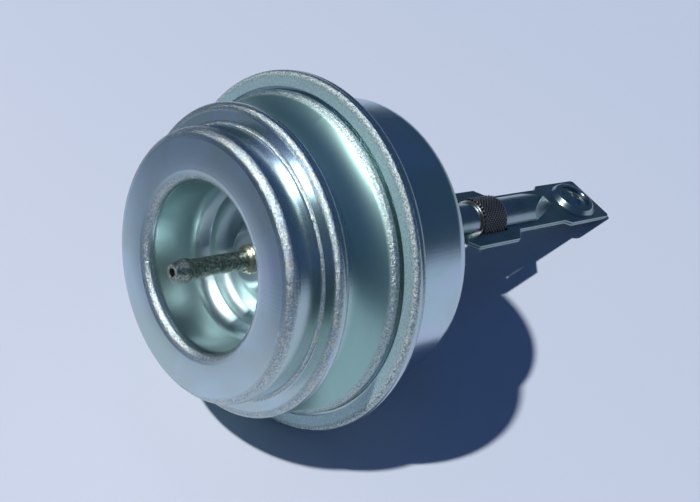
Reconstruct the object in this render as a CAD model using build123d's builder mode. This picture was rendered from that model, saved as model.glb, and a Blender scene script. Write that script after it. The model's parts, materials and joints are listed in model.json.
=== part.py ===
from build123d import *
import math
import os

# Vacuum wastegate actuator: two pressed steel cans crimped round a rubber diaphragm, a return
# spring, a pull rod and an adjustable two-piece rod end. Millimetres, +Z up.
# The actuator lies as it comes to rest: on the rim of its crimp and on the tip of its rod end.
# Stations are measured along the rod from the front face of the cover's flange, + towards the
# rod end. Radii are measured from the rod's centre line.

# Sheet and fits
cover_sheet = 0.8
can_sheet = 0.8
link_sheet = 0.65
running_gap = 0.05
loose_gap = 0.3
least_bend = 0.1

# Rear can and crimp
can_radius = 29.2
can_depth = 21.3
can_corner_radius = 3.4
can_root_radius = 1.5
crimp_flange_width = 5.8
crimp_lip_width = 3.0
crimp_corner_radius = 1.1

# Front cover, outer face, from the bead beside the crimp to the front ring
cover_depth = 21.5
bead_gap = 0.6
bead_height = 1.7
bead_corner_radius = 1.0
bead_root_radius = 0.15
waist_depth = 4.0
waist_slope_length = 0.8
flare_radius = 10.0
flare_length = 3.7
shoulder_height = 2.1
shoulder_width = 2.6
shoulder_corner_radius = 1.25
shoulder_step = 4.0
crease_radius = 0.4
front_ring_length = 7.5
front_ring_width = 9.8
front_ring_crown = 0.35
front_ring_crown_radius = 26.0
cover_corner_radius = 2.3

# Recess in the front cover
recess_depth = 16.5
recess_lip_radius = 2.4
recess_draft = 0.4
recess_curve_radius = 4.0
recess_ring_step = 2.4
recess_ring_width = 0.4
recess_ring_slope = 1.3
recess_ring_height = 3.0
recess_bend_radius = 2.4
centre_flat_radius = 5.2
centre_flat_height = 3.8

# Hose nipple, for a 3.5 mm hose
nipple_overhang = 5.1
nipple_bore_radius = 0.8
nipple_tip_radius = 1.5
nipple_barb_radius = 2.2
nipple_neck_radius = 1.85
nipple_barb_length = 3.3
nipple_barb_land = 1.0
nipple_barb_back = 0.5
nipple_flange_radius = 3.6
nipple_flange_thickness = 0.8
braze_radius = 2.8
braze_length = 1.7
braze_groove = 0.25

# Rod, return spring and piston
rod_radius = 3.0
rod_chamfer = 0.6
rod_spigot_radius = 2.2
rod_exposed_length = 18.4
rod_end_length = 9.7
rivet_head_radius = 3.8
rivet_head_height = 1.5
rivet_crown_radius = 2.4
rivet_rim_height = 0.6
spring_wire_radius = 1.1
spring_turns = 6.5
piston_sheet = 1.0
piston_corner_radius = 2.0
piston_skirt_length = 9.0
piston_washer_radius = 9.0
piston_washer_thickness = 1.2

# Diaphragm
diaphragm_thickness = 0.6
diaphragm_wall_gap = 0.4
diaphragm_fold_gap = 1.2
diaphragm_fold_depth = 3.0
diaphragm_fold_radius = 2.5
retainer_radius = 9.0
retainer_thickness = 1.0

# Guide in the rear can
guide_housing_radius = 8.0
guide_housing_sheet = 1.0
guide_flange_width = 1.6
guide_height = 9.3
guide_corner_radius = 1.4
guide_bush_overhang = 1.0
guide_mouth_radius = 4.2
wiper_length = 1.8
wiper_chamfer = 0.5

# Mounting studs, two M6 studs through a stiffening plate
stud_radius = 3.0
stud_shank_radius = 3.2
stud_edge_distance = 10.4
stud_length = 12.0
stud_angle = -60.0
stud_head_radius = 4.4
stud_head_thickness = 1.0
stud_plate_thickness = 1.3
stud_chamfer = 0.7

# Rod end link and its knurled adjuster nut, lengths from the end that faces the can
link_roll = 7.0
tube_radius = 4.2
nut_inset = 6.7
nut_radius = 5.2
nut_length = 8.6
nut_chamfer = 0.5
window_side_gap = 0.4
window_end_gap = 0.2
wing_half_width = 8.7
wing_margin = 1.6
wing_start_chamfer = 2.2
wing_slope_length = 3.0
neck_half_width = 5.9
neck_length = 18.6
link_step_length = 1.7
link_half_width = 7.1
eye_pad_length = 16.1
link_tip_corner = 1.0
link_edge_corner = 0.5
link_edge_round = 0.2
tube_length = 14.3
tube_ridge_setback = 2.9
tube_bow_length = 10.8

# Swivel bush in the end of the link
eye_edge_distance = 8.25
eye_ring_radius = 6.0
eye_hole_radius = 4.0
eye_ring_slope = 0.8
eye_ring_height = 1.45
eye_under_height = 0.5
eye_ring_foot = 0.3
eye_ring_corner = 0.6
bush_collar_radius = 4.35
bush_crown_drop = 0.45
bush_crown_height = 0.55
bush_crown_bulge = 0.12
bush_dimple_radius = 1.1
bush_dimple_depth = 0.35
bush_under_height = 0.5
lever_bore_radius = 2.5
lever_bore_depth = 3.1

# Radii of the capsule, from the can outwards to the crimp and inwards along the cover
crimp_radius = can_radius + crimp_flange_width
crimp_lip_radius = crimp_radius - crimp_lip_width
cover_flange_radius = crimp_radius - can_sheet - loose_gap
bead_radius = crimp_lip_radius - bead_gap
waist_radius = bead_radius - waist_depth
shoulder_radius = waist_radius + shoulder_height
cover_front_radius = shoulder_radius - shoulder_step
recess_radius = cover_front_radius - front_ring_width
recess_ring_radius = recess_radius - recess_ring_step
recess_floor_radius = (centre_flat_radius + recess_ring_radius - recess_ring_width) / 2
ring_crest_radius = (recess_radius + cover_front_radius) / 2
spring_mean_radius = ring_crest_radius
spring_outer_radius = spring_mean_radius + spring_wire_radius
piston_radius = spring_outer_radius + 2 * running_gap + piston_corner_radius
stud_circle_radius = can_radius - stud_edge_distance
guide_flange_radius = guide_housing_radius + guide_flange_width

# Stations of the capsule
cover_front_station = -cover_depth
ring_edge_station = cover_front_station + front_ring_crown
shoulder_station = cover_front_station + front_ring_length
recess_floor_station = cover_front_station + recess_depth
recess_ring_station = recess_floor_station - recess_ring_height
centre_flat_station = recess_floor_station - centre_flat_height
nipple_tip_station = cover_front_station - nipple_overhang
can_end_station = can_depth

# Stations of the rod and the link
guide_end_station = can_end_station + guide_height
link_start_station = guide_end_station + rod_exposed_length
nut_station = link_start_station + nut_inset
nut_end_station = nut_station + nut_length
rod_end_station = nut_end_station + rod_end_length
wing_end_station = nut_end_station + wing_margin
neck_end_station = wing_end_station + wing_slope_length + neck_length
link_tip_station = neck_end_station + link_step_length + eye_pad_length
eye_station = link_tip_station - eye_edge_distance
tube_bow_station = nut_end_station + tube_length
tube_ridge_station = tube_bow_station + tube_ridge_setback
tube_tip_station = tube_bow_station + tube_bow_length

# Rest pose: the crimp's rounded rim and the rounded near corner of the link's tip touch the floor
roll = math.radians(link_roll)
crimp_front_station = -can_sheet
clamp_station = cover_sheet + diaphragm_thickness
crimp_rear_station = clamp_station + can_sheet
rim_station = crimp_rear_station - crimp_corner_radius
rim_radius = crimp_radius - crimp_corner_radius
corner_station = link_tip_station - link_tip_corner
corner_half_width = link_half_width - link_tip_corner
tip_reach = link_tip_corner - link_edge_round
tilt = 0.0
for refinement in range(6):
    lowest = math.atan2(math.sin(roll) * math.cos(tilt), math.sin(tilt))
    tip_station = corner_station + tip_reach * math.cos(lowest)
    tip_half_width = corner_half_width + tip_reach * math.sin(lowest)
    tip_drop = tip_half_width * math.sin(roll) + (link_sheet - link_edge_round) * math.cos(roll)
    rise = rim_radius - tip_drop
    run = tip_station - rim_station
    turn_in = math.asin((crimp_corner_radius - link_edge_round) / math.hypot(rise, run))
    tilt = math.atan2(rise, run) + turn_in
axis_direction = Vector(math.cos(tilt), 0, -math.sin(tilt))
upward = Vector(math.sin(tilt), 0, math.cos(tilt))

# The origin is under the middle of the whole actuator, at floor level
crown_slope = math.atan2(front_ring_crown, front_ring_width / 2)
corner_depth = cover_corner_radius * (1 / math.cos(crown_slope) - math.tan(crown_slope))
front_corner_station = ring_edge_station + corner_depth
front_corner_inset = cover_front_radius - cover_corner_radius
front_corner_place = front_corner_station * math.cos(tilt) - front_corner_inset * math.sin(tilt)
leftmost = front_corner_place - cover_corner_radius
tip_spread = math.hypot(math.cos(tilt), math.sin(roll) * math.sin(tilt)) * link_tip_corner
tip_lift = corner_half_width * math.sin(roll) + link_sheet * math.cos(roll)
rightmost = corner_station * math.cos(tilt) + tip_lift * math.sin(tilt) + tip_spread
rim_drop = rim_radius * math.cos(tilt) + crimp_corner_radius
centre = Vector(-(leftmost + rightmost) / 2, 0, rim_station * math.sin(tilt) + rim_drop)

# Sketch plane through the centre line: x is the radius, y is the station
profile_plane = Plane(origin=centre, x_dir=upward, z_dir=Vector(0, 1, 0))
rod_axis = Axis(centre, axis_direction)


def station(distance):
    """Plane square to the centre line, x towards the top of the actuator."""
    return Plane(origin=centre + axis_direction * distance, x_dir=upward, z_dir=axis_direction)


# Frame of the link: x along the rod, z square to its plate, rolled towards the near side
plate_normal = upward * math.cos(roll) - Vector(0, 1, 0) * math.sin(roll)
link_plane = Plane(origin=centre, x_dir=axis_direction, z_dir=plate_normal)


def link_station(distance, side):
    """Plane square to the rod, y along the plate's normal on the given side."""
    across = link_plane.y_dir * side
    return Plane(origin=centre + axis_direction * distance, x_dir=across, z_dir=axis_direction)


def turned(points, radii=None, plane=profile_plane, axis=rod_axis):
    """Ring or plug turned from a closed outline of (radius, height) points."""
    with BuildPart() as ring:
        with BuildSketch(plane):
            with BuildLine():
                if radii is None:
                    Polyline(*points, close=True)
                else:
                    FilletPolyline(*points, radius=radii, close=True)
            make_face()
        revolve(axis=axis)
    return ring.part


def bend_angle(before, corner, after):
    """Signed turn of an outline at a corner in radians, + to the left."""
    into = Vector(corner[0] - before[0], corner[1] - before[1])
    out = Vector(after[0] - corner[0], after[1] - corner[1])
    return math.atan2(into.X * out.Y - into.Y * out.X, into.dot(out))


def moved_aside(points, distance):
    """Corners of an open outline moved to the left of its run by a distance."""
    moved = []
    for index, point in enumerate(points):
        before = points[max(index - 1, 0)]
        after = points[min(index + 1, len(points) - 1)]
        nearest = before if index else after
        along = Vector(point[0] - nearest[0], point[1] - nearest[1]).normalized()
        if index == 0:
            along = -along
        ends = index in (0, len(points) - 1)
        turn = 0 if ends else bend_angle(before, point, after)
        aside = Vector(-along.Y, along.X) - along * math.tan(turn / 2)
        moved.append((point[0] + aside.X * distance, point[1] + aside.Y * distance))
    return moved


def limited(points, radii):
    """Bend radii of an open outline, each made small enough for the straights beside it."""
    spans = [math.dist(start, end) for start, end in zip(points, points[1:])]
    turns = [abs(bend_angle(*corner)) for corner in zip(points, points[1:], points[2:])]
    needs = [radius * math.tan(turn / 2) for radius, turn in zip(radii, turns)]
    fitted = []
    for index, radius in enumerate(radii):
        share = 1.0
        for span, other in ((spans[index], index - 1), (spans[index + 1], index + 1)):
            beside = needs[other] if 0 <= other < len(needs) else 0
            share = min(share, 0.98 * span / (needs[index] + beside))
        fitted.append(radius * share)
    return fitted


def pressed(points, radii, sheet, plane=profile_plane, axis=rod_axis):
    """Pressed shell from the outline of its outer face, its sheet to the left of the run."""
    inner_points = moved_aside(points, sheet)
    inner_radii = []
    for before, corner, after, radius in zip(points, points[1:], points[2:], radii):
        inner_radius = radius - math.copysign(sheet, bend_angle(before, corner, after))
        inner_radii.append(max(inner_radius, least_bend))
    with BuildPart() as shell:
        with BuildSketch(plane):
            with BuildLine():
                FilletPolyline(*points, radius=limited(points, radii))
                FilletPolyline(*inner_points, radius=limited(inner_points, inner_radii))
                Line(points[0], inner_points[0])
                Line(points[-1], inner_points[-1])
            make_face()
        revolve(axis=axis)
    return shell.part


os.makedirs("parts", exist_ok=True)


def finish(part, name):
    """Label a finished piece and write it."""
    part.label = name
    export_step(part, f"parts/{name}.step")


# Front cover: centre flat, ring groove, deep recess, rounded front ring, shoulder, waist, flange
waist_station = shoulder_station + shoulder_width
cover_points = [
    (nipple_neck_radius, centre_flat_station),
    (centre_flat_radius, centre_flat_station),
    (recess_floor_radius, recess_floor_station),
    (recess_ring_radius - recess_ring_width, recess_floor_station),
    (recess_ring_radius, recess_ring_station),
    (recess_radius - recess_draft, recess_ring_station - recess_ring_slope),
    (recess_radius, ring_edge_station),
    (ring_crest_radius, cover_front_station),
    (cover_front_radius, ring_edge_station),
    (cover_front_radius, shoulder_station),
    (shoulder_radius, shoulder_station),
    (shoulder_radius, waist_station),
    (waist_radius, waist_station + waist_slope_length),
    (waist_radius, -bead_height - flare_length),
    (bead_radius, -bead_height),
    (bead_radius, 0),
    (cover_flange_radius, 0),
]
cover_radii = [
    recess_bend_radius,
    recess_bend_radius,
    recess_bend_radius,
    crease_radius,
    recess_curve_radius,
    recess_lip_radius,
    front_ring_crown_radius,
    cover_corner_radius,
    crease_radius,
    shoulder_corner_radius,
    shoulder_corner_radius,
    waist_slope_length,
    flare_radius,
    bead_corner_radius,
    bead_root_radius,
]
front_cover = pressed(cover_points, cover_radii, cover_sheet)
finish(front_cover, "front_cover")

# Rear can: the turned-over crimp lip, the rim, the flange, the deep cup and its end
can_hole_radius = guide_housing_radius + loose_gap
can_outline = [
    (crimp_lip_radius, crimp_front_station),
    (crimp_radius, crimp_front_station),
    (crimp_radius, crimp_rear_station),
    (can_radius, crimp_rear_station),
    (can_radius, can_end_station),
    (can_hole_radius, can_end_station),
]
can_radii = [crimp_corner_radius, crimp_corner_radius, can_root_radius, can_corner_radius]
can_shell = pressed(can_outline, can_radii, can_sheet)
can_floor_station = can_end_station - can_sheet
stud_angles = (stud_angle, stud_angle + 180)
with BuildPart() as rear_can:
    add(can_shell)
    with BuildSketch(station(can_floor_station - can_sheet)):
        with PolarLocations(stud_circle_radius, 2, start_angle=stud_angle):
            Circle(stud_shank_radius + running_gap)
    extrude(amount=3 * can_sheet, mode=Mode.SUBTRACT)
finish(rear_can.part, "rear_can")

# Hose nipple: a thin tube with one barb, flanged over inside the cover
nipple_foot_station = centre_flat_station + cover_sheet
nipple_end_station = nipple_foot_station + nipple_flange_thickness
barb_end_station = nipple_tip_station + nipple_barb_length
nipple_outline = [
    (nipple_bore_radius, nipple_tip_station),
    (nipple_tip_radius, nipple_tip_station),
    (nipple_barb_radius, barb_end_station - nipple_barb_land),
    (nipple_barb_radius, barb_end_station),
    (nipple_neck_radius, barb_end_station + nipple_barb_back),
    (nipple_neck_radius, nipple_foot_station),
    (nipple_flange_radius, nipple_foot_station),
    (nipple_flange_radius, nipple_end_station),
    (nipple_bore_radius, nipple_end_station),
]
finish(turned(nipple_outline), "hose_nipple")

# Brazed joint: a thick ring of filler round the foot of the nipple and a thinner one on it
braze_middle_station = centre_flat_station - braze_length / 2
braze_end_station = centre_flat_station - braze_length
braze_outline = [
    (nipple_neck_radius, centre_flat_station),
    (braze_radius, centre_flat_station),
    (braze_radius, braze_middle_station + braze_groove),
    (braze_radius - braze_groove, braze_middle_station),
    (braze_radius - braze_groove, braze_end_station + 2 * braze_groove),
    (nipple_neck_radius + braze_groove, braze_end_station),
    (nipple_neck_radius, braze_end_station),
]
finish(turned(braze_outline), "nipple_braze")

# Piston stack on the rod: rivet head, washer, piston cup, diaphragm, retainer, shoulder
guide_front_station = can_floor_station - guide_housing_sheet - guide_bush_overhang
shoulder_seat_station = guide_front_station - loose_gap
retainer_station = shoulder_seat_station - retainer_thickness
web_station = retainer_station - diaphragm_thickness
piston_floor_station = web_station - piston_sheet
washer_station = piston_floor_station - piston_washer_thickness
rivet_station = washer_station - rivet_head_height

# Diaphragm: clamped rim, wall beside the can, folded in under the piston
web_radius = can_radius - can_sheet - diaphragm_wall_gap
web_bend_radius = can_root_radius + can_sheet + diaphragm_wall_gap
diaphragm_outline = [
    (cover_flange_radius, clamp_station),
    (web_radius, clamp_station),
    (web_radius, retainer_station - diaphragm_fold_depth),
    (piston_radius + diaphragm_fold_gap, retainer_station),
    (rod_spigot_radius + loose_gap, retainer_station),
]
diaphragm_radii = [web_bend_radius, diaphragm_fold_radius, diaphragm_fold_radius]
diaphragm = pressed(diaphragm_outline, diaphragm_radii, diaphragm_thickness)
finish(diaphragm, "diaphragm")

# Piston cup: its skirt guides the diaphragm and holds the spring
piston_outline = [
    (piston_radius, web_station - piston_skirt_length),
    (piston_radius, web_station),
    (rod_spigot_radius, web_station),
]
finish(pressed(piston_outline, [piston_corner_radius], piston_sheet), "piston_cup")

piston_washer_outline = [
    (rod_spigot_radius, washer_station),
    (piston_washer_radius, washer_station),
    (piston_washer_radius, piston_floor_station),
    (rod_spigot_radius, piston_floor_station),
]
finish(turned(piston_washer_outline), "piston_washer")

retainer_outline = [
    (rod_spigot_radius, retainer_station),
    (retainer_radius, retainer_station),
    (retainer_radius, shoulder_seat_station),
    (rod_spigot_radius, shoulder_seat_station),
]
finish(turned(retainer_outline), "diaphragm_retainer")

# Rod: riveted over the piston stack, plain in the guide, threaded in the nut
rod_outline = [
    (0, rivet_station),
    (rivet_crown_radius, rivet_station),
    (rivet_head_radius, washer_station - rivet_rim_height),
    (rivet_head_radius, washer_station),
    (rod_spigot_radius, washer_station),
    (rod_spigot_radius, shoulder_seat_station),
    (rod_radius, shoulder_seat_station),
    (rod_radius, rod_end_station - rod_chamfer),
    (rod_radius - rod_chamfer, rod_end_station),
    (0, rod_end_station),
]
finish(turned(rod_outline), "pull_rod")

# Guide: a pressed housing through the can's end, a sintered bush and a wiper
guide_outline = [
    (guide_flange_radius, can_floor_station),
    (guide_housing_radius, can_floor_station),
    (guide_housing_radius, guide_end_station),
    (guide_mouth_radius, guide_end_station),
]
guide_housing = pressed(guide_outline, [loose_gap, guide_corner_radius], guide_housing_sheet)
finish(guide_housing, "guide_housing")

guide_bore_radius = guide_housing_radius - guide_housing_sheet
wiper_end_station = guide_end_station - guide_housing_sheet - loose_gap
bush_end_station = wiper_end_station - wiper_length
rod_hole_radius = rod_radius + running_gap
bush_outline = [
    (rod_hole_radius, guide_front_station),
    (guide_bore_radius, guide_front_station),
    (guide_bore_radius, bush_end_station),
    (rod_hole_radius, bush_end_station),
]
finish(turned(bush_outline), "guide_bush")

wiper_outline = [
    (rod_hole_radius, bush_end_station),
    (guide_bore_radius, bush_end_station),
    (guide_bore_radius, wiper_end_station - wiper_chamfer),
    (rod_hole_radius + wiper_chamfer, wiper_end_station),
    (rod_hole_radius, wiper_end_station),
]
finish(turned(wiper_outline), "rod_wiper")

# Stiffening plate inside the can, and the two studs pressed through plate and can
stud_head_station = can_floor_station - stud_plate_thickness
stud_plate_radius = can_radius - can_corner_radius - loose_gap
with BuildPart() as stud_plate:
    with BuildSketch(station(stud_head_station)):
        Circle(stud_plate_radius)
        Circle(guide_flange_radius + loose_gap, mode=Mode.SUBTRACT)
        with PolarLocations(stud_circle_radius, 2, start_angle=stud_angle):
            Circle(stud_shank_radius + running_gap, mode=Mode.SUBTRACT)
    extrude(amount=stud_plate_thickness)
finish(stud_plate.part, "stud_plate")

for angle, name in zip(stud_angles, ("upper_stud", "lower_stud")):
    head_plane = station(stud_head_station - stud_head_thickness)
    outward = Vector(stud_circle_radius, 0).rotate(Axis.Z, angle)
    with BuildPart() as stud:
        with BuildSketch(head_plane):
            with Locations(outward):
                Circle(stud_head_radius)
        extrude(amount=stud_head_thickness)
        with BuildSketch(station(stud_head_station)):
            with Locations(outward):
                Circle(stud_shank_radius)
        extrude(amount=can_end_station - stud_head_station)
        with BuildSketch(station(can_end_station)):
            with Locations(outward):
                Circle(stud_radius)
        extrude(amount=stud_length)
        chamfer(stud.edges().filter_by(GeomType.CIRCLE).sort_by(rod_axis)[-1], stud_chamfer)
    finish(stud.part, name)

# Return spring, its ends ground flat on the cover's front ring and on the piston cup
spring_front_station = cover_front_station + cover_sheet + 2 * running_gap
spring_length = piston_floor_station - spring_front_station
with BuildPart() as return_spring:
    with BuildLine() as coil:
        Helix(
            pitch=spring_length / spring_turns,
            height=spring_length,
            radius=spring_mean_radius,
            center=centre + axis_direction * spring_front_station,
            direction=axis_direction,
        )
    with BuildSketch(Plane(origin=coil.line @ 0, z_dir=coil.line % 0)):
        Circle(spring_wire_radius)
    sweep(path=coil.line, is_frenet=True)
    with BuildSketch(station(spring_front_station)):
        Circle(spring_outer_radius + spring_wire_radius)
    extrude(amount=spring_length, mode=Mode.INTERSECT)
finish(return_spring.part, "return_spring")

# Knurled adjuster nut, held in the window of the link and threaded on the rod
nut_outline = [
    (rod_hole_radius, nut_station),
    (nut_radius - nut_chamfer, nut_station),
    (nut_radius, nut_station + nut_chamfer),
    (nut_radius, nut_end_station - nut_chamfer),
    (nut_radius - nut_chamfer, nut_end_station),
    (rod_hole_radius, nut_end_station),
]
finish(turned(nut_outline), "adjuster_nut")

# Link: two mirror pressings with a half tube round the rod, wings beside the nut and an eye
eye_centre = centre + axis_direction * eye_station
eye_axis = Axis(eye_centre, plate_normal)


def eye_plane(side):
    """Sketch plane through the eye: x along the rod, y along the normal on the given side."""
    return Plane(origin=eye_centre, x_dir=axis_direction, z_dir=link_plane.y_dir * -side)


def half_tube(radius, bow, ridge, tip, side):
    """Half of a round bar along the rod, its end cut to a pointed bow by two sloping planes."""
    with BuildPart() as bar:
        with BuildSketch(link_station(link_start_station, side)):
            with BuildLine():
                CenterArc((0, 0), radius, 0, 180)
                Line((-radius, 0), (radius, 0))
            make_face()
        extrude(amount=tip - link_start_station)
        point = link_plane.from_local_coords(Vector(tip, 0, 0))
        crest = link_plane.from_local_coords(Vector(ridge, 0, radius * side))
        for hand in (1, -1):
            corner = link_plane.from_local_coords(Vector(bow, radius * hand, 0))
            outward = (corner - point).cross(crest - point).normalized()
            if outward.dot(axis_direction) < 0:
                outward = -outward
            split(bisect_by=Plane(origin=point, z_dir=outward), keep=Keep.BOTTOM)
    return bar.part


link_edge = [
    (link_start_station, wing_half_width - wing_start_chamfer),
    (link_start_station + wing_start_chamfer, wing_half_width),
    (wing_end_station, wing_half_width),
    (wing_end_station + wing_slope_length, neck_half_width),
    (neck_end_station, neck_half_width),
    (neck_end_station + link_step_length, link_half_width),
    (link_tip_station, link_half_width),
]
link_outline = link_edge + [(along, -across) for along, across in reversed(link_edge)]
link_corners = [link_edge_corner] * 6 + [link_tip_corner]
window_middle = nut_station + nut_length / 2
window_length = nut_length + 2 * window_end_gap
window_width = 2 * (nut_radius + window_side_gap)


def link_half(side, ring_height):
    """One pressing of the link, on the given side of the plane through the rod."""
    outer_bar = half_tube(tube_radius, tube_bow_station, tube_ridge_station, tube_tip_station, side)
    inner_bar = half_tube(
        tube_radius - link_sheet,
        tube_bow_station - link_sheet,
        tube_ridge_station - link_sheet,
        tube_tip_station - 2 * link_sheet,
        side,
    )
    ring_top = link_sheet + ring_height
    ring_outline = [
        (eye_ring_radius + eye_ring_foot, link_sheet),
        (eye_ring_radius, link_sheet),
        (eye_ring_radius - eye_ring_slope, ring_top),
        (eye_hole_radius, ring_top),
    ]
    ring_radii = [eye_ring_foot, eye_ring_corner]
    ring = pressed(ring_outline, ring_radii, link_sheet, eye_plane(side), eye_axis)
    with BuildPart() as half:
        with BuildSketch(link_plane):
            with BuildLine():
                FilletPolyline(*link_outline, radius=link_corners + link_corners[::-1], close=True)
            make_face()
        extrude(amount=link_sheet * side)
        flats = half.faces().filter_by(Axis(centre, plate_normal))
        fillet(flats.edges(), link_edge_round)
        add(outer_bar)
        add(inner_bar, mode=Mode.SUBTRACT)
        with BuildSketch(link_plane):
            with Locations((window_middle, 0)):
                Rectangle(window_length, window_width)
        extrude(amount=2 * tube_radius * side, mode=Mode.SUBTRACT)
        with BuildSketch(link_plane):
            with Locations((eye_station, 0)):
                Circle(eye_ring_radius)
        extrude(amount=link_sheet * side, mode=Mode.SUBTRACT)
        add(ring)
    return half.part


finish(link_half(1, eye_ring_height), "link_upper_half")
finish(link_half(-1, eye_under_height), "link_lower_half")

# Swivel bush: its collar is held between the two rings, its blind bore takes the lever's pin
bush_radius = eye_hole_radius - 2 * running_gap
collar_top = eye_ring_height - running_gap
collar_bottom = -eye_under_height + running_gap
crown_edge = link_sheet + eye_ring_height - bush_crown_drop
crown_top = crown_edge + bush_crown_height
bush_bottom = -link_sheet - eye_under_height - bush_under_height
with BuildPart() as swivel_bush:
    with BuildSketch(eye_plane(1)):
        with BuildLine():
            SagittaArc((bush_radius, crown_edge), (bush_dimple_radius, crown_top), bush_crown_bulge)
            Polyline(
                (bush_dimple_radius, crown_top),
                (0, crown_top - bush_dimple_depth),
                (0, bush_bottom + lever_bore_depth),
                (lever_bore_radius, bush_bottom + lever_bore_depth),
                (lever_bore_radius, bush_bottom),
                (bush_radius, bush_bottom),
                (bush_radius, collar_bottom),
                (bush_collar_radius, collar_bottom),
                (bush_collar_radius, collar_top),
                (bush_radius, collar_top),
                (bush_radius, crown_edge),
            )
        make_face()
    revolve(axis=eye_axis)
finish(swivel_bush.part, "swivel_bush")
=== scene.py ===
import json
import math

import bmesh
import bpy
from mathutils import Matrix, Vector


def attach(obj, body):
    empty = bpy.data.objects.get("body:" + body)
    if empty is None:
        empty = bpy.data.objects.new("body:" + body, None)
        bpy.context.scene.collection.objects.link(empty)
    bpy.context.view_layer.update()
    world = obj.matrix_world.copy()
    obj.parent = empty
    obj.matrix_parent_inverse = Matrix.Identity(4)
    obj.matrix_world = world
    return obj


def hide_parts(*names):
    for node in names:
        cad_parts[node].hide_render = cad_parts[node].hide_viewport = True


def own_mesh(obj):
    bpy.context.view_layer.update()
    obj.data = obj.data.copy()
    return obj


# Wastegate actuator lying on a pale sheet. Metres, +Z up. Sizes of detail are in millimetres.
# Stations are measured along the rod's centre line from the front face of the cover's flange.
MM = 0.001
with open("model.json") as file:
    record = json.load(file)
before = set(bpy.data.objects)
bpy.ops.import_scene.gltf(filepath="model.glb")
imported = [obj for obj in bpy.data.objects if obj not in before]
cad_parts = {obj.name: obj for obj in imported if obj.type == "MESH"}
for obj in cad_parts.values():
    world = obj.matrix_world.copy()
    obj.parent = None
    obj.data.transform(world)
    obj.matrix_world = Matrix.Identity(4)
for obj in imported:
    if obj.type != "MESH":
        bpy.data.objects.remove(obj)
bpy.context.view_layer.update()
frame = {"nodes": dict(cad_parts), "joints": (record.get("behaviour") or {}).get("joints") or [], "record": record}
nodes = frame["nodes"]
mounts = {mount["name"]: mount for mount in frame["record"]["mounts"]}
joints = {joint["name"]: joint for joint in frame["joints"]}

CAN_END_STATION = 21.3
STUD_LENGTH = 12.0
STUD_CIRCLE_RADIUS = 18.8
STUD_ANGLE = -60.0
STUD_HEAD_STATION = 18.2
STUD_SHANK_STATION = 19.2
STUD_HEAD_RADIUS = 4.4
STUD_SHANK_RADIUS = 3.2
STUD_CHAMFER = 0.7
STUD_THREAD_GAP = 0.6
NUT_LENGTH = 8.6
NUT_RADIUS = 5.2
NUT_CHAMFER = 0.5
RUNNING_GAP = 0.05

# Knurl: over its lead each groove goes round by a share of a turn, and it fades out beside a plain rim
KNURL_TEETH = 34
KNURL_DEPTH = 0.36
KNURL_LEAD = 9.0
KNURL_TURN = 0.28
KNURL_SHARPNESS = 1.5
KNURL_RIM = 0.2
KNURL_FADE = 0.2

# Riveted end, shoulder and threaded end of the rod
RIVET_STATION = 12.9
RIVET_RIM_STATION = 13.8
WASHER_STATION = 14.4
SHOULDER_STATION = 18.2
ROD_END_STATION = 74.0
RIVET_CROWN_RADIUS = 2.4
RIVET_HEAD_RADIUS = 3.8
SPIGOT_RADIUS = 2.2
ROD_CHAMFER = 0.6

# Return spring, from the cover's front ring to the piston cup
SPRING_START = -20.6
SPRING_END = 15.6
SPRING_RADIUS = 20.6
SPRING_WIRE_RADIUS = 1.1
SPRING_TURNS = 6.5

# Faces of the diaphragm's sheet, as radius and station, from its clamped rim to the hole at the rod
DIAPHRAGM_FRONT = [
    (33.9, 0.8),
    (30.6, 0.8),
    (28.3, 1.7),
    (27.4, 4.0),
    (27.4, 13.1),
    (26.9, 14.5),
    (25.4, 15.95),
    (24.05, 16.6),
    (2.5, 16.6),
]
DIAPHRAGM_REAR = [
    (33.9, 1.4),
    (30.7, 1.4),
    (28.8, 2.2),
    (28.0, 4.1),
    (28.0, 13.2),
    (27.4, 14.8),
    (25.8, 16.4),
    (24.3, 17.2),
    (2.5, 17.2),
]

# M6 thread, on the rod's end and on both studs: its groove takes five sixths of the pitch
THREAD_RADIUS = 3.0
THREAD_PITCH = 1.0
THREAD_DEPTH = 0.6
THREAD_GROOVE = 5 / 6
ROD_THREAD_STATION = 43.0

# Fineness of the meshes, the slack between equal radii, and the fold in degrees that looks sharp
ROD_SEGMENTS = 60
DIAPHRAGM_SEGMENTS = 96
WIRE_SEGMENTS = 12
FLOOR_SEGMENTS = 64
SEGMENTS_PER_TOOTH = 10
STEPS_PER_TURN = 36
STEPS_PER_PITCH = 10
KNURL_STEPS = 64
MERGE_DISTANCE = 0.0005
RADIUS_SLACK = 0.01
SHARP_ANGLE = 40

# Frame of the centre line, with its origin at station 0: x towards the top of the capsule,
# y to the near side and z along the rod
axis = Vector(mounts["bracket_studs"]["axis"]).normalized()
stud_middle = Vector(mounts["bracket_studs"]["pos_m"])
middle = stud_middle - axis * (CAN_END_STATION + STUD_LENGTH / 2) * MM
top = (Vector((0, 0, 1)) - axis * axis.z).normalized()
near = axis.cross(top)
line_turn = Matrix((top, near, axis)).transposed()
line_frame = Matrix.Translation(middle) @ line_turn.to_4x4() @ Matrix.Scale(MM, 4)


def colour(code):
    """An sRGB hex colour as linear RGBA."""
    parts = [int(code[start:start + 2], 16) / 255 for start in (1, 3, 5)]
    return (*[c / 12.92 if c <= 0.04045 else ((c + 0.055) / 1.055) ** 2.4 for c in parts], 1.0)


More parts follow.
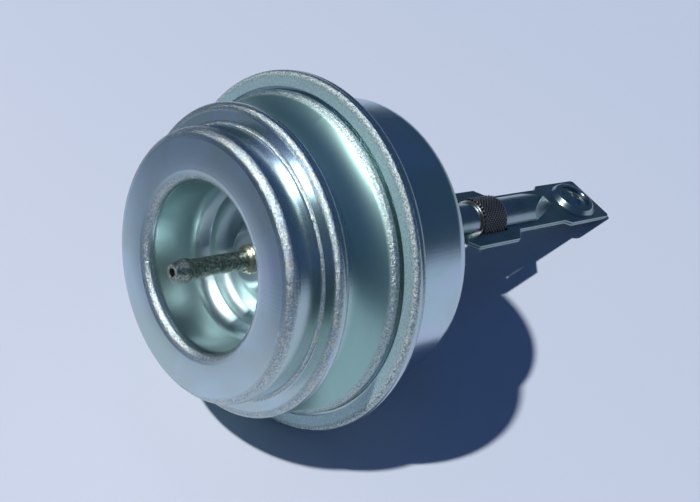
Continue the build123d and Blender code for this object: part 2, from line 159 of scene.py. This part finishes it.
def add(tree, kind, inputs=None, stops=None, **settings):
    """Adds a node with its settings, its inputs and a ramp's stops.

    An input is a value, a socket, or a node whose first output in use is linked."""
    made = tree.nodes.new(kind)
    for name, value in settings.items():
        setattr(made, name, value)
    for name, value in (inputs or {}).items():
        if isinstance(value, bpy.types.Node):
            value = next(socket for socket in value.outputs if socket.enabled)
        if isinstance(value, bpy.types.NodeSocket):
            tree.links.new(value, made.inputs[name])
        else:
            made.inputs[name].default_value = value
    if stops:
        ramp = made.color_ramp.elements
        while len(ramp) < len(stops):
            ramp.new(1.0)
        for element, (place, code) in zip(ramp, stops):
            element.position = place
            element.color = colour(code)
    return made


def finish_material(name, inputs):
    """A material whose shader takes the inputs that a function makes in its tree."""
    material = bpy.data.materials.new(name)
    material.use_nodes = True
    tree = material.node_tree
    tree.nodes.clear()
    shader = add(tree, "ShaderNodeBsdfPrincipled", inputs(tree))
    add(tree, "ShaderNodeOutputMaterial", {"Surface": shader.outputs["BSDF"]})
    return material


def line_place(tree):
    """Place in the centre line's frame, in millimetres."""
    return add(
        tree,
        "ShaderNodeMapping",
        {
            "Vector": add(tree, "ShaderNodeTexCoord").outputs["Object"],
            "Location": middle,
            "Rotation": line_turn.to_euler(),
            "Scale": (MM, MM, MM),
        },
        vector_type="TEXTURE",
    )


def off_line(tree, place):
    """The part of a place that is across the centre line, and its length, the radius."""
    flat = add(tree, "ShaderNodeVectorMath", {0: place, 1: (1, 1, 0)}, operation="MULTIPLY")
    return flat, add(tree, "ShaderNodeVectorMath", {0: flat}, operation="LENGTH")


# Rings of the drawn corners, as radius, station and half width: stretching left them grainy
DRAWN_RINGS = [
    (24.8, -20.4, 1.0),
    (16.3, -20.9, 0.8),
    (25.7, -14.0, 0.4),
    (28.9, -13.5, 0.8),
    (28.9, -11.8, 0.6),
    (31.0, -1.9, 0.9),
    (34.6, -0.4, 0.7),
    (34.6, 1.8, 0.8),
    (28.3, 20.4, 1.2),
]
# Share of its half width over which a ring fades, inwards and outwards
RING_FADE = 0.5
# Heights of the stretched grain, of the grain elsewhere and of the die's drawing marks, in millimetres
GRAIN_HEIGHT = 0.2
SKIN_HEIGHT = 0.005
MARK_HEIGHT = 0.006
# Radius at which the drawing marks have their true spacing, and the scale that draws them out
MARK_RADIUS = 30
MARK_SCALE = 0.04
# Strength of the spots, of the painted glints and dark pits on the corners, and of a fainter painted speckle of
# the same on the crimp's band
SPOT_STRENGTH = 0.5
CORNER_GLINT_SPECKLE = 0.6
BAND_GLINT_SPECKLE = 0.3
WALL_ROUGHNESS = 0.21


def near_rings(tree, station, radius, rings):
    """1 on the rings, fading to 0 about their half widths."""
    point = add(tree, "ShaderNodeCombineXYZ", {"X": radius, "Y": station})
    nearest = 0.0
    for ring_radius, ring_station, half_width in rings:
        gap = add(
            tree,
            "ShaderNodeVectorMath",
            {0: point, 1: (ring_radius, ring_station, 0)},
            operation="DISTANCE",
        )
        on_ring = add(
            tree,
            "ShaderNodeMapRange",
            {
                "Value": gap,
                "From Min": half_width * (1 + RING_FADE),
                "From Max": half_width * (1 - RING_FADE),
            },
            interpolation_type="SMOOTHSTEP",
        )
        nearest = add(tree, "ShaderNodeMath", {0: nearest, 1: on_ring}, operation="MAXIMUM")
    return nearest


def drawn_zinc(tree):
    """Inputs of the drawn cans: smooth walls, satin faces, grainy corners with painted glints in their colour,
    painted bounced light on the flare and in the recess, and drifting tints.
    """
    place = line_place(tree)
    station = add(tree, "ShaderNodeSeparateXYZ", {0: place}).outputs["Z"]
    flat, radius = off_line(tree, place)
    skin = add(tree, "ShaderNodeTexCoord").outputs["Normal"]
    along = add(tree, "ShaderNodeVectorMath", {0: skin, 1: axis}, operation="DOT_PRODUCT")
    across = add(tree, "ShaderNodeMath", {0: along}, operation="ABSOLUTE")
    # Each part of the pressings, from the value where it is left out to the value where it is full
    spans = [
        (across, 0.25, 0.95),
        (radius, 16.6, 15.4),
        (station, -9.8, -7.8),
        (station, -1.6, -2.6),
        (radius, 31.6, 32.2),
    ]
    face, recess, behind_shoulder, before_bead, outermost = [
        add(
            tree,
            "ShaderNodeMapRange",
            {"Value": value, "From Min": low, "From Max": high},
            interpolation_type="SMOOTHSTEP",
        )
        for value, low, high in spans
    ]
    flare = add(tree, "ShaderNodeMath", {0: behind_shoulder, 1: before_bead}, operation="MULTIPLY")
    band = add(tree, "ShaderNodeMath", {0: face, 1: outermost}, operation="MULTIPLY")
    drawn = near_rings(tree, station, radius, DRAWN_RINGS)

    # The passivated film is a fraction of a micron thick, so its tint drifts over 10 to 30 mm
    drift = add(
        tree, "ShaderNodeTexNoise", {"Vector": place, "Scale": 0.06, "Detail": 2.0, "Distortion": 0.6}
    )
    tint = add(
        tree,
        "ShaderNodeValToRGB",
        {"Fac": drift},
        stops=[(0.32, "#b9cfc8"), (0.45, "#bccccd"), (0.58, "#c0d4da"), (0.70, "#c6d2e0")],
    )
    # On the stretched corners it breaks up into blue and straw spots of 1 to 2 mm.
    # The green on the flare and in the recess is painted light that stands for light bounced between the lit
    # parts. On the crimp's band the film is dull
    spots = add(tree, "ShaderNodeTexNoise", {"Vector": place, "Scale": 0.8, "Detail": 2.0})
    spot_tint = add(
        tree,
        "ShaderNodeValToRGB",
        {"Fac": spots},
        stops=[(0.34, "#8fabd2"), (0.48, "#a9c2c6"), (0.60, "#cfc6a8")],
    )
    spotted = add(tree, "ShaderNodeMath", {0: drawn, 1: SPOT_STRENGTH}, operation="MULTIPLY")
    film_tints = [
        (spotted, spot_tint),
        # Painted bounced light: the green on the flare and the lighter green in the recess
        (flare, colour("#9fc2ba")),
        (recess, colour("#b3c6c7")),
        (band, colour("#bcd9de")),
    ]
    for amount, colours in film_tints:
        tint = add(tree, "ShaderNodeMix", {"Factor": amount, "A": tint, "B": colours}, data_type="RGBA")

    # Grain of the stretched steel, drawn 0.4 mm wide so that it shows. Its bump is real, and its colour paints the
    # pits dark as painted shade and the crests bright as painted glints
    grain = add(
        tree, "ShaderNodeTexNoise", {"Vector": place, "Scale": 2.7, "Detail": 3.0, "Roughness": 0.65}
    )
    glint_speckle = add(
        tree,
        "ShaderNodeValToRGB",
        {"Fac": grain},
        stops=[(0.36, "#75868c"), (0.5, "#b0bdbd"), (0.62, "#e6e6de")],
    )
    glint_speckle_amount = 0.0
    for amount, strength in (band, BAND_GLINT_SPECKLE), (drawn, CORNER_GLINT_SPECKLE):
        glint_speckle_amount = add(tree, "ShaderNodeMath", {0: amount, 1: strength, 2: glint_speckle_amount}, operation="MULTIPLY_ADD")
    # Painted glints and painted shade: the speckle's bright crests and dark pits are mixed into the colour
    tint = add(tree, "ShaderNodeMix", {"Factor": glint_speckle_amount, "A": tint, "B": glint_speckle}, data_type="RGBA")
    grain_height = add(
        tree, "ShaderNodeMath", {0: drawn, 1: GRAIN_HEIGHT, 2: SKIN_HEIGHT}, operation="MULTIPLY_ADD"
    )
    # Drawing marks along the walls and across the crimp, drawn 0.4 mm apart so that they show
    around = add(tree, "ShaderNodeVectorMath", {0: flat}, operation="NORMALIZE")
    drawn_out = add(
        tree, "ShaderNodeVectorMath", {0: place, 1: (0, 0, MARK_SCALE)}, operation="MULTIPLY"
    )
    mark_place = add(
        tree,
        "ShaderNodeVectorMath",
        {0: around, 1: (MARK_RADIUS, MARK_RADIUS, 0), 2: drawn_out},
        operation="MULTIPLY_ADD",
    )
    marks = add(tree, "ShaderNodeTexNoise", {"Vector": mark_place, "Scale": 2.4, "Detail": 1.0})
    height = 0.0
    for relief, most in (grain, grain_height), (marks, MARK_HEIGHT):
        height = add(tree, "ShaderNodeMath", {0: relief, 1: most, 2: height}, operation="MULTIPLY_ADD")
    # Walls were ironed smooth by the die, and faces across the centre line kept the rolled, satin skin
    rough = WALL_ROUGHNESS
    for amount, more in (face, 0.04), (recess, 0.08), (flare, 0.14), (drawn, 0.08), (band, 0.4):
        rough = add(tree, "ShaderNodeMath", {0: amount, 1: more, 2: rough}, operation="MULTIPLY_ADD")
    return {
        "Base Color": tint,
        "Metallic": 1.0,
        "Roughness": rough,
        "Normal": add(tree, "ShaderNodeBump", {"Distance": MM, "Height": height}),
    }


def plated(codes, roughness, tint, grain, relief):
    """Inputs of a metal, with the size of its tints and its grain's size and height in millimetres."""
    def inputs(tree):
        place = line_place(tree)
        drift, pits = [
            add(tree, "ShaderNodeTexNoise", {"Vector": place, "Scale": 1 / size, "Detail": 2.0})
            for size in (tint, grain)
        ]
        stops = [(0.35 + 0.3 * i / (len(codes) - 1), code) for i, code in enumerate(codes)]
        return {
            "Base Color": add(tree, "ShaderNodeValToRGB", {"Fac": drift}, stops=stops),
            "Metallic": 1.0,
            "Roughness": roughness,
            "Normal": add(tree, "ShaderNodeBump", {"Distance": relief * MM, "Height": pits}),
        }
    return inputs


def knurled(tree):
    """Inputs of the knurled nut: rims and crests are painted bright as painted highlights, and the grooves are
    painted dark as painted shade.
    """
    place = line_place(tree)
    radius = off_line(tree, place)[1]
    # Colour by height on the knurl: painted shade in the grooves, painted highlights on the crests and rims
    crest = add(
        tree,
        "ShaderNodeMapRange",
        {"Value": radius, "From Min": NUT_RADIUS - NUT_CHAMFER, "From Max": NUT_RADIUS},
    )
    grain = add(tree, "ShaderNodeTexNoise", {"Vector": place, "Scale": 2.5, "Detail": 2.0})
    return {
        "Base Color": add(
            tree,
            "ShaderNodeValToRGB",
            {"Fac": crest},
            stops=[(0.05, "#8a8987"), (0.2, "#302e2d"), (0.65, "#62605e"), (0.95, "#b2b1ae")],
        ),
        "Metallic": 1.0,
        "Roughness": 0.34,
        "Normal": add(tree, "ShaderNodeBump", {"Distance": 0.02 * MM, "Height": grain}),
    }


def rubber(tree):
    """Inputs of moulded rubber with a patchy bloom."""
    bloom = add(tree, "ShaderNodeTexNoise", {"Vector": line_place(tree), "Scale": 0.8, "Detail": 3.0})
    stops = [(0.3, "#15171a"), (0.7, "#26292d")]
    return {"Base Color": add(tree, "ShaderNodeValToRGB", {"Fac": bloom}, stops=stops), "Roughness": 0.7}


# Blue-bright zinc plate on deep-drawn cans: bluish mirror walls, satin faces and sparkling corners, whose sparkle
# is partly painted glints
zinc = finish_material("blue_bright_zinc_drawn", drawn_zinc)
# Blue-bright zinc plate on pressed strip: smooth, cool green-grey with a soft mirror
zinc_link = finish_material(
    "blue_bright_zinc_sheet",
    plated(["#8ca5a0", "#98aaac", "#a2acb6"], roughness=0.24, tint=6.0, grain=0.5, relief=0.015),
)
# Thin zinc plate on a rolled knurl: dark brown-grey, with painted shade in the grooves and painted highlights on
# the crests and rims
zinc_nut = finish_material("zinc_over_knurl", knurled)
# Zinc plate on a rolled thread: pale blue-grey with a fine grain
zinc_stud = finish_material(
    "zinc_over_thread",
    plated(["#98a6ad", "#a7b2c0", "#b5b9c6"], roughness=0.28, tint=3.0, grain=0.3, relief=0.015),
)
# Blue-bright zinc plate on a turned bush: near mirror with blue, teal and straw patches
zinc_bush = finish_material(
    "blue_bright_zinc_turned",
    plated(["#5f86b4", "#8fb0b4", "#a3b6b8", "#cdb787"], roughness=0.22, tint=1.6, grain=0.4, relief=0.01),
)
# Zinc plate on a tube pickled after brazing: coarse, dull olive-green grain
zinc_nipple = finish_material(
    "zinc_over_rough_tube",
    plated(["#6c7c74", "#8d9b93", "#9fa396", "#cfd0c4"], roughness=0.36, tint=0.5, grain=0.4, relief=0.1),
)
# Brass filler that ran round the nipple's foot in the furnace, under thin zinc: pale straw beads
braze = finish_material(
    "brass_filler",
    plated(["#8d8468", "#b3ab90", "#9aa39c"], roughness=0.36, tint=0.7, grain=0.4, relief=0.06),
)
# Bright steel rod, cold drawn and ground: even pale grey, a clear mirror
steel = finish_material(
    "bright_drawn_rod",
    plated(["#9ba5b0", "#b4bbc6"], roughness=0.25, tint=8.0, grain=0.4, relief=0.005),
)
# Bare pressed steel, oiled: darker grey, blurred mirror
inner_steel = finish_material(
    "bare_pressed_steel",
    plated(["#85888c", "#9a9da1"], roughness=0.4, tint=8.0, grain=0.5, relief=0.01),
)
# Sintered bronze, pressed and soaked in oil: dull brown gold with open pores
bronze = finish_material(
    "sintered_bronze",
    plated(["#8c6c40", "#a88a5a"], roughness=0.5, tint=3.0, grain=0.3, relief=0.03),
)
# Nitrile rubber, moulded: near black with a grey bloom
nitrile = finish_material("nitrile_rubber", rubber)

NODE_MATERIALS = {
    "front_cover": zinc,
    "rear_can": zinc,
    "guide_housing": zinc,
    "hose_nipple": zinc_nipple,
    "nipple_braze": braze,
    "link_upper_half": zinc_link,
    "link_lower_half": zinc_link,
    "swivel_bush": zinc_bush,
    "diaphragm": nitrile,
    "rod_wiper": nitrile,
    "return_spring": inner_steel,
    "guide_bush": bronze,
    "stud_plate": inner_steel,
    "piston_cup": inner_steel,
    "piston_washer": inner_steel,
    "diaphragm_retainer": inner_steel,
    "pull_rod": steel,
    "upper_stud": zinc_stud,
    "lower_stud": zinc_stud,
    "adjuster_nut": zinc_nut,
}
for name, material in NODE_MATERIALS.items():
    nodes[name].data.materials.clear()
    nodes[name].data.materials.append(material)


def placed(name, mesh):
    """An object from a mesh in the centre line's frame, smooth but for its sharp edges."""
    for face in mesh.faces:
        face.smooth = True
    for edge in mesh.edges:
        edge.smooth = edge.calc_face_angle(0) < math.radians(SHARP_ANGLE)
    mesh.transform(line_frame)
    made = bpy.data.objects.new(name, bpy.data.meshes.new(name))
    mesh.to_mesh(made.data)
    mesh.free()
    bpy.context.scene.collection.objects.link(made)
    return made


def unshifted(angle, radius, station):
    """Shift of a plain piece."""
    return 0.0


def lathe(name, outline, segments, shift=unshifted, centre=(0, 0), closed=True):
    """A piece turned from an outline of (radius, station), about a line beside the centre line.

    shift moves each point out by a length that depends on its angle, radius and station.
    An outline that is not closed starts and ends on the turning line."""
    mesh = bmesh.new()
    points = [mesh.verts.new((radius, 0, station)) for radius, station in outline]
    pairs = list(zip(points, points[1:] + points[:1]))
    edges = [mesh.edges.new(pair) for pair in (pairs if closed else pairs[:-1])]
    bmesh.ops.spin(
        mesh,
        geom=points + edges,
        axis=(0, 0, 1),
        cent=(0, 0, 0),
        steps=segments,
        angle=math.tau,
        use_merge=True,
    )
    bmesh.ops.remove_doubles(mesh, verts=mesh.verts, dist=MERGE_DISTANCE)
    bmesh.ops.recalc_face_normals(mesh, faces=mesh.faces)
    for point in mesh.verts:
        radius = math.hypot(point.co.x, point.co.y)
        if radius > RADIUS_SLACK:
            grown = 1 + shift(math.atan2(point.co.y, point.co.x), radius, point.co.z) / radius
            point.co.x *= grown
            point.co.y *= grown
    mesh.transform(Matrix.Translation((*centre, 0)))
    return placed(name, mesh)


def thread(start, end):
    """Shift of an M6 thread between two stations, running out over half a turn at each end.

    It leaves other radii alone, such as a stud's thicker shank and head."""
    def groove(angle, radius, station):
        inside = min(station - start, end - station)
        if abs(radius - THREAD_RADIUS) > RADIUS_SLACK or inside <= 0:
            return 0.0
        turn = (station / THREAD_PITCH - angle / math.tau) % 1
        flank = max(0.0, 1 - abs(turn - 0.5) * 2 / THREAD_GROOVE)
        return -THREAD_DEPTH * flank * min(1.0, inside / THREAD_PITCH * 2)
    return groove


def threaded_wall(start, end):
    """Outline points of a wall fine enough for its thread."""
    steps = round((end - start) / THREAD_PITCH * STEPS_PER_PITCH)
    return [(THREAD_RADIUS, start + (end - start) * i / steps) for i in range(steps + 1)]


# Rod: riveted head, spigot, plain shank in the guide and a threaded end
thread_end = ROD_END_STATION - ROD_CHAMFER
rod_outline = [
    (0, RIVET_STATION),
    (RIVET_CROWN_RADIUS, RIVET_STATION),
    (RIVET_HEAD_RADIUS, RIVET_RIM_STATION),
    (RIVET_HEAD_RADIUS, WASHER_STATION),
    (SPIGOT_RADIUS, WASHER_STATION),
    (SPIGOT_RADIUS, SHOULDER_STATION),
    (THREAD_RADIUS, SHOULDER_STATION),
    *threaded_wall(ROD_THREAD_STATION, thread_end),
    (THREAD_RADIUS - ROD_CHAMFER, ROD_END_STATION),
    (0, ROD_END_STATION),
]
rod_thread = thread(ROD_THREAD_STATION, thread_end)
rod = lathe("threaded_rod", rod_outline, ROD_SEGMENTS, rod_thread, closed=False)
rod.data.materials.append(steel)
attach(rod, "rod")
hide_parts("pull_rod")

# Studs: head, shank in plate and can, and the thread outside
stud_end = CAN_END_STATION + STUD_LENGTH
stud_outline = [
    (0, STUD_HEAD_STATION),
    (STUD_HEAD_RADIUS, STUD_HEAD_STATION),
    (STUD_HEAD_RADIUS, STUD_SHANK_STATION),
    (STUD_SHANK_RADIUS, STUD_SHANK_STATION),
    (STUD_SHANK_RADIUS, CAN_END_STATION),
    *threaded_wall(CAN_END_STATION, stud_end - STUD_CHAMFER),
    (THREAD_RADIUS - STUD_CHAMFER, stud_end),
    (0, stud_end),
]
stud_thread = thread(CAN_END_STATION + STUD_THREAD_GAP, stud_end)
for side, angle in (("upper", STUD_ANGLE), ("lower", STUD_ANGLE + 180)):
    around = math.radians(angle)
    centre = (STUD_CIRCLE_RADIUS * math.cos(around), STUD_CIRCLE_RADIUS * math.sin(around))
    stud = lathe(
        f"{side}_threaded_stud", stud_outline, ROD_SEGMENTS, stud_thread, centre, closed=False
    )
    stud.data.materials.append(zinc_stud)
    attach(stud, "capsule")
    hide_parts(f"{side}_stud")

# Knurled nut: two families of crossed grooves between two chamfered rims
nut_place = (Vector(joints["nut_turn"]["pos_m"]) - middle).dot(axis) / MM
nut_start = nut_place - NUT_LENGTH / 2
nut_end = nut_place + NUT_LENGTH / 2


def knurl(angle, radius, station):
    """Shift of the crossed grooves at a point of the nut's outside."""
    inside = min(station - nut_start, nut_end - station) - KNURL_RIM
    if radius < NUT_RADIUS - RADIUS_SLACK or inside <= 0:
        return 0.0
    around = angle / math.tau * KNURL_TEETH
    along = (station - nut_start) / KNURL_LEAD * KNURL_TEETH * KNURL_TURN
    groove = max(abs((around + slant * along) % 1 - 0.5) for slant in (-1, 1)) * 2
    return -KNURL_DEPTH * groove ** KNURL_SHARPNESS * min(1.0, inside / KNURL_FADE)


wall = NUT_LENGTH - 2 * NUT_CHAMFER
rim = NUT_RADIUS - NUT_CHAMFER
bore = THREAD_RADIUS + RUNNING_GAP
nut_outline = [
    (bore, nut_start),
    (rim, nut_start),
    *[(NUT_RADIUS, nut_start + NUT_CHAMFER + wall * i / KNURL_STEPS) for i in range(KNURL_STEPS + 1)],
    (rim, nut_end),
    (bore, nut_end),
]
nut = lathe("knurled_nut", nut_outline, KNURL_TEETH * SEGMENTS_PER_TOOTH, knurl)
nut.data.materials.append(zinc_nut)
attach(nut, "nut")
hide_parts("adjuster_nut")

# Spring and diaphragm: both are attached whole to the capsule
coil_steps = round(SPRING_TURNS * STEPS_PER_TURN)
coil = bmesh.new()
bmesh.ops.create_circle(
    coil,
    segments=WIRE_SEGMENTS,
    radius=SPRING_WIRE_RADIUS,
    matrix=Matrix.Translation((SPRING_RADIUS, 0, SPRING_START)) @ Matrix.Rotation(math.pi / 2, 4, "X"),
)
bmesh.ops.spin(
    coil,
    geom=coil.verts[:] + coil.edges[:],
    axis=(0, 0, 1),
    cent=(0, 0, 0),
    dvec=(0, 0, (SPRING_END - SPRING_START) / coil_steps),
    steps=coil_steps,
    angle=SPRING_TURNS * math.tau,
)
bmesh.ops.holes_fill(coil, edges=coil.edges)
bmesh.ops.recalc_face_normals(coil, faces=coil.faces)
# Both ends of the wire are ground flat
for point in coil.verts:
    point.co.z = min(max(point.co.z, SPRING_START), SPRING_END)
spring = placed("coiled_spring", coil)
spring.data.materials.append(inner_steel)

sheet_outline = DIAPHRAGM_FRONT + DIAPHRAGM_REAR[::-1]
diaphragm = lathe("folding_diaphragm", sheet_outline, DIAPHRAGM_SEGMENTS)
diaphragm.data.materials.append(nitrile)

for soft, node, slot, start, end in (
    (spring, "return_spring", "spring_wire", SPRING_START, SPRING_END),
    (diaphragm, "diaphragm", "diaphragm_rubber", DIAPHRAGM_FRONT[0][1], DIAPHRAGM_REAR[-1][1]),
):
    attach(soft, "capsule")
    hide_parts(node)
    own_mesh(soft)

# Floor, a plain pale sheet that reaches far past every view
FLOOR_RADIUS = 6.0
floor_mesh = bmesh.new()
bmesh.ops.create_circle(floor_mesh, cap_ends=True, segments=FLOOR_SEGMENTS, radius=FLOOR_RADIUS)
floor = bpy.data.objects.new("floor", bpy.data.meshes.new("floor"))
floor_mesh.to_mesh(floor.data)
floor_mesh.free()
bpy.context.scene.collection.objects.link(floor)

# The sheet turns a little greyer along X, and has painted shade to the picture's left and far away. In metres
GREY_START = -0.13
GREY_END = 0.2
CLOUD_STRENGTH = 0.15
SHADE_DIRECTION = (-0.8, 0.6, 0)
SHADE_START = 0.118
SHADE_END = 0.22
FAR_START = 0.3
FAR_END = 0.6
FAR_SHADE = 0.75


def sheet(tree):
    """Inputs of the matt pale sheet, a little clouded."""
    place = add(tree, "ShaderNodeTexCoord").outputs["Object"]
    along = add(tree, "ShaderNodeSeparateXYZ", {0: place}).outputs["X"]
    onward = add(
        tree,
        "ShaderNodeMapRange",
        {"Value": along, "From Min": GREY_START, "From Max": GREY_END},
        interpolation_type="SMOOTHSTEP",
    )
    cloud = add(tree, "ShaderNodeTexNoise", {"Vector": place, "Scale": 6.0, "Detail": 1.0})
    grey = add(
        tree, "ShaderNodeMath", {0: cloud, 1: CLOUD_STRENGTH, 2: onward}, operation="MULTIPLY_ADD"
    )
    pale = add(
        tree,
        "ShaderNodeValToRGB",
        {"Fac": grey},
        stops=[(0.05, "#ced2dd"), (0.35, "#c5ccd9"), (1.0, "#bdc6d4")],
    )
    aside = add(tree, "ShaderNodeVectorMath", {0: place, 1: SHADE_DIRECTION}, operation="DOT_PRODUCT")
    beside = add(
        tree, "ShaderNodeMapRange", {"Value": aside, "From Min": SHADE_START, "From Max": SHADE_END}
    )
    away = add(tree, "ShaderNodeVectorMath", {0: place}, operation="LENGTH")
    far = add(
        tree,
        "ShaderNodeMapRange",
        {"Value": away, "From Min": FAR_START, "From Max": FAR_END, "To Max": FAR_SHADE},
    )
    shade = add(tree, "ShaderNodeMath", {0: beside, 1: far}, operation="MAXIMUM")
    return {
        "Base Color": add(
            tree, "ShaderNodeMix", {"Factor": shade, "A": pale, "B": colour("#6f7a8b")}, data_type="RGBA"
        ),
        "Roughness": 0.9,
        "Specular IOR Level": 0.2,
    }


# Matt painted board: pale blue-grey, no mirror, with painted shade to one side and far away
floor.data.materials.append(finish_material("pale_sheet", sheet))

# Light: one clear key lamp from the upper left, and a dark blue surround that is bluer overhead
KEY_DIRECTION = Vector((-0.472, 0.153, 0.868))
KEY_STRENGTH = 3.4
KEY_ANGLE = 2.0
key = bpy.data.objects.new("key", bpy.data.lights.new("key", "SUN"))
key.data.energy = KEY_STRENGTH
key.data.angle = math.radians(KEY_ANGLE)
key.rotation_mode = "QUATERNION"
key.rotation_quaternion = KEY_DIRECTION.to_track_quat("Z", "Y")
bpy.context.scene.collection.objects.link(key)

world = bpy.data.worlds.new("surround")
world.use_nodes = True
bpy.context.scene.world = world
sky_tree = world.node_tree
sky_tree.nodes.clear()
sky_place = add(sky_tree, "ShaderNodeTexCoord").outputs["Object"]
sky_height = add(sky_tree, "ShaderNodeSeparateXYZ", {0: sky_place}).outputs["Z"]
sky_tint = add(
    sky_tree,
    "ShaderNodeValToRGB",
    {"Fac": sky_height},
    stops=[(0.0, "#32475c"), (0.35, "#344a66"), (1.0, "#3a5180")],
)
sky = add(sky_tree, "ShaderNodeBackground", {"Color": sky_tint})
add(sky_tree, "ShaderNodeOutputWorld", {"Surface": sky})

# Camera, at the photograph's place: millimetres from station 0, degrees, and the lens in millimetres
CAMERA_PLACE = Vector((-98.87, -122.1, 144.36))
CAMERA_AZIMUTH = 43.55
CAMERA_DIP = 42.18
CAMERA_ROLL = 6.69
CAMERA_LENS = 56.57
azimuth, dip = math.radians(CAMERA_AZIMUTH), math.radians(CAMERA_DIP)
view = Vector((math.sin(azimuth) * math.cos(dip), math.cos(azimuth) * math.cos(dip), -math.sin(dip)))
camera = bpy.data.objects.new("camera", bpy.data.cameras.new("camera"))
camera.data.lens = CAMERA_LENS
turn = view.to_track_quat("-Z", "Y").to_matrix() @ Matrix.Rotation(math.radians(CAMERA_ROLL), 3, "Z")
camera.matrix_world = Matrix.Translation(middle + CAMERA_PLACE * MM) @ turn.to_4x4()
camera.data.clip_start = 0.005
camera.data.clip_end = 20.0
bpy.context.scene.collection.objects.link(camera)
bpy.context.scene.camera = camera
bpy.context.scene.view_settings.view_transform = "Standard"
